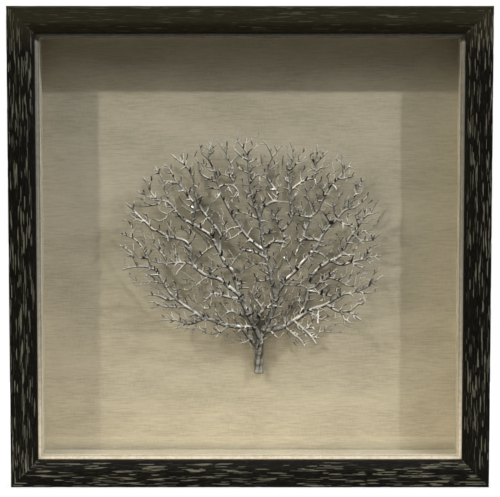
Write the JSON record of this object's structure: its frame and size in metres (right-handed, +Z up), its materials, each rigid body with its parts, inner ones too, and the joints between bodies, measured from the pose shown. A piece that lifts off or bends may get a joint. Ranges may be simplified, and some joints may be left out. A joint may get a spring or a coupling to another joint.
{
  "type": "framed fan coral",
  "caption": "Square box frame in dark wood with a metal-leaf slip, glass and linen lining, holding a silvered fan coral that branches from one foot and spreads flat over the panel.",
  "frame": {"origin": "middle of the underside of the bottom rail, at half the frame's whole depth", "axes": "+Z up, -Y the way the glazed front faces, +X to the right of someone looking at the front"},
  "size_m": [0.508, 0.063, 0.508],
  "materials": {
    "dark_wood": "nearly black stained wood with chattered grain, satin wax",
    "leaf": "champagne metal leaf over wood, satin",
    "linen": "slubbed natural linen",
    "glass": "clear picture glass",
    "board": "brown hardboard",
    "steel": "zinc-plated steel",
    "rubber": "matt",
    "coral": "silvered horny skeleton, satin with dark undersides"
  },
  "bodies": {
    "root": {"backing_board": "board", "bumper_left": "rubber", "bumper_right": "rubber", "coral_limb_bottom_right": "coral", "coral_limb_centre": "coral", "coral_limb_centre_right": "coral", "coral_limb_crown": "coral", "coral_limb_far_left": "coral", "coral_limb_far_right": "coral", "coral_limb_far_upper_left": "coral", "coral_limb_front_right": "coral", "coral_limb_high_left": "coral", "coral_limb_inner_left": "coral", "coral_limb_left": "coral", "coral_limb_left_crown": "coral", "coral_limb_left_inner": "coral", "coral_limb_low_left": "coral", "coral_limb_low_right": "coral", "coral_limb_low_right_tip": "coral", "coral_limb_mid_left": "coral", "coral_limb_middle": "coral", "coral_limb_right": "coral", "coral_limb_right_inner": "coral", "coral_limb_right_tip": "coral", "coral_limb_top_left": "coral", "coral_limb_top_left_tip": "coral", "coral_limb_top_middle": "coral", "coral_limb_top_right": "coral", "coral_limb_top_right_inner": "coral", "coral_limb_upper_left": "coral", "coral_limb_upper_middle": "coral", "coral_limb_upper_right": "coral", "coral_limb_upper_right_tip": "coral", "coral_stem": "coral", "coral_trunk": "coral", "glass_pane": "glass", "hanger_left": "steel", "hanger_right": "steel", "linen_panel": "linen", "point_1": "steel", "point_2": "steel", "point_3": "steel", "point_4": "steel", "point_5": "steel", "point_6": "steel", "point_7": "steel", "point_8": "steel", "rail_bottom": "dark_wood", "rail_left": "dark_wood", "rail_right": "dark_wood", "rail_top": "dark_wood", "slip_bottom": "leaf", "slip_left": "leaf", "slip_right": "leaf", "slip_top": "leaf", "wall_bottom": "linen", "wall_left": "linen", "wall_right": "linen", "wall_top": "linen"}
  },
  "joints": []
}
